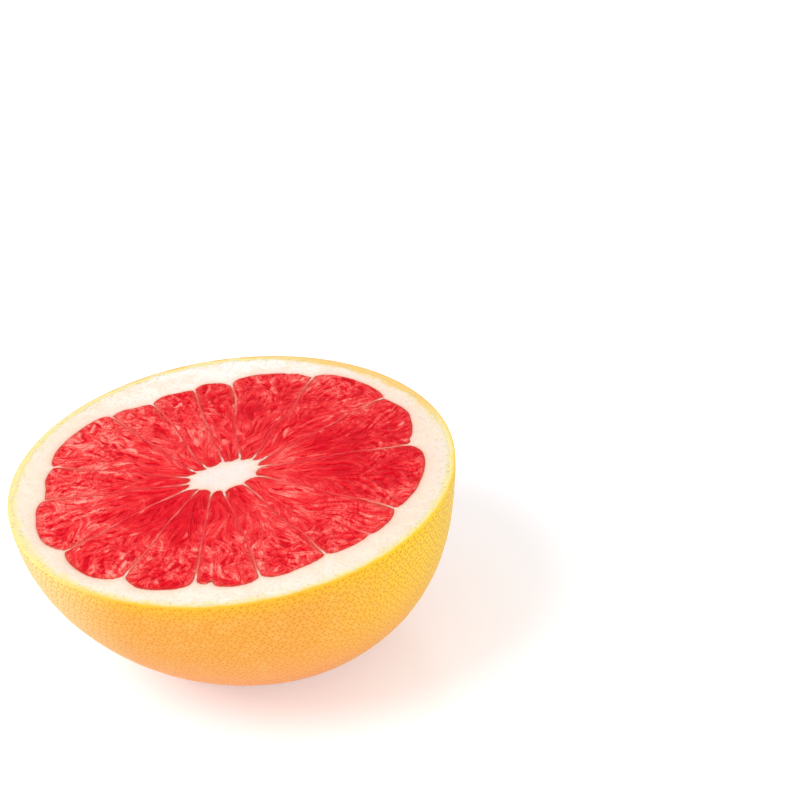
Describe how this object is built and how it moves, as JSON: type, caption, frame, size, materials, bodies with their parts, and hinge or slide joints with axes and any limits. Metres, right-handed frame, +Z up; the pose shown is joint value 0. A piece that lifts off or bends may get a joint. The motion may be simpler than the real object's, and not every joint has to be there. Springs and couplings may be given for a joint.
{
  "type": "grapefruit half",
  "caption": "Half a red grapefruit lying cut face up: an orange skin bowl lined with white pith, wedge-shaped flesh segments between thin walls, and a pithy core.",
  "frame": {"origin": "on the surface that the half rests on, right under the middle of the cut face", "axes": "+Z up, square to the cut face; +X towards the side that the blossom end sits off the middle; the view from -Y is the front"},
  "size_m": [0.112, 0.112, 0.0512],
  "materials": {
    "peel": "satin",
    "pith": "matte",
    "flesh": "satin"
  },
  "bodies": {
    "root": {"peel": "peel", "pith": "pith", "segment_01": "flesh", "segment_02": "flesh", "segment_03": "flesh", "segment_04": "flesh", "segment_05": "flesh", "segment_06": "flesh", "segment_07": "flesh", "segment_08": "flesh", "segment_09": "flesh", "segment_10": "flesh", "segment_11": "flesh", "segment_12": "flesh", "segment_13": "flesh", "segment_14": "flesh", "segment_15": "flesh"}
  },
  "joints": []
}
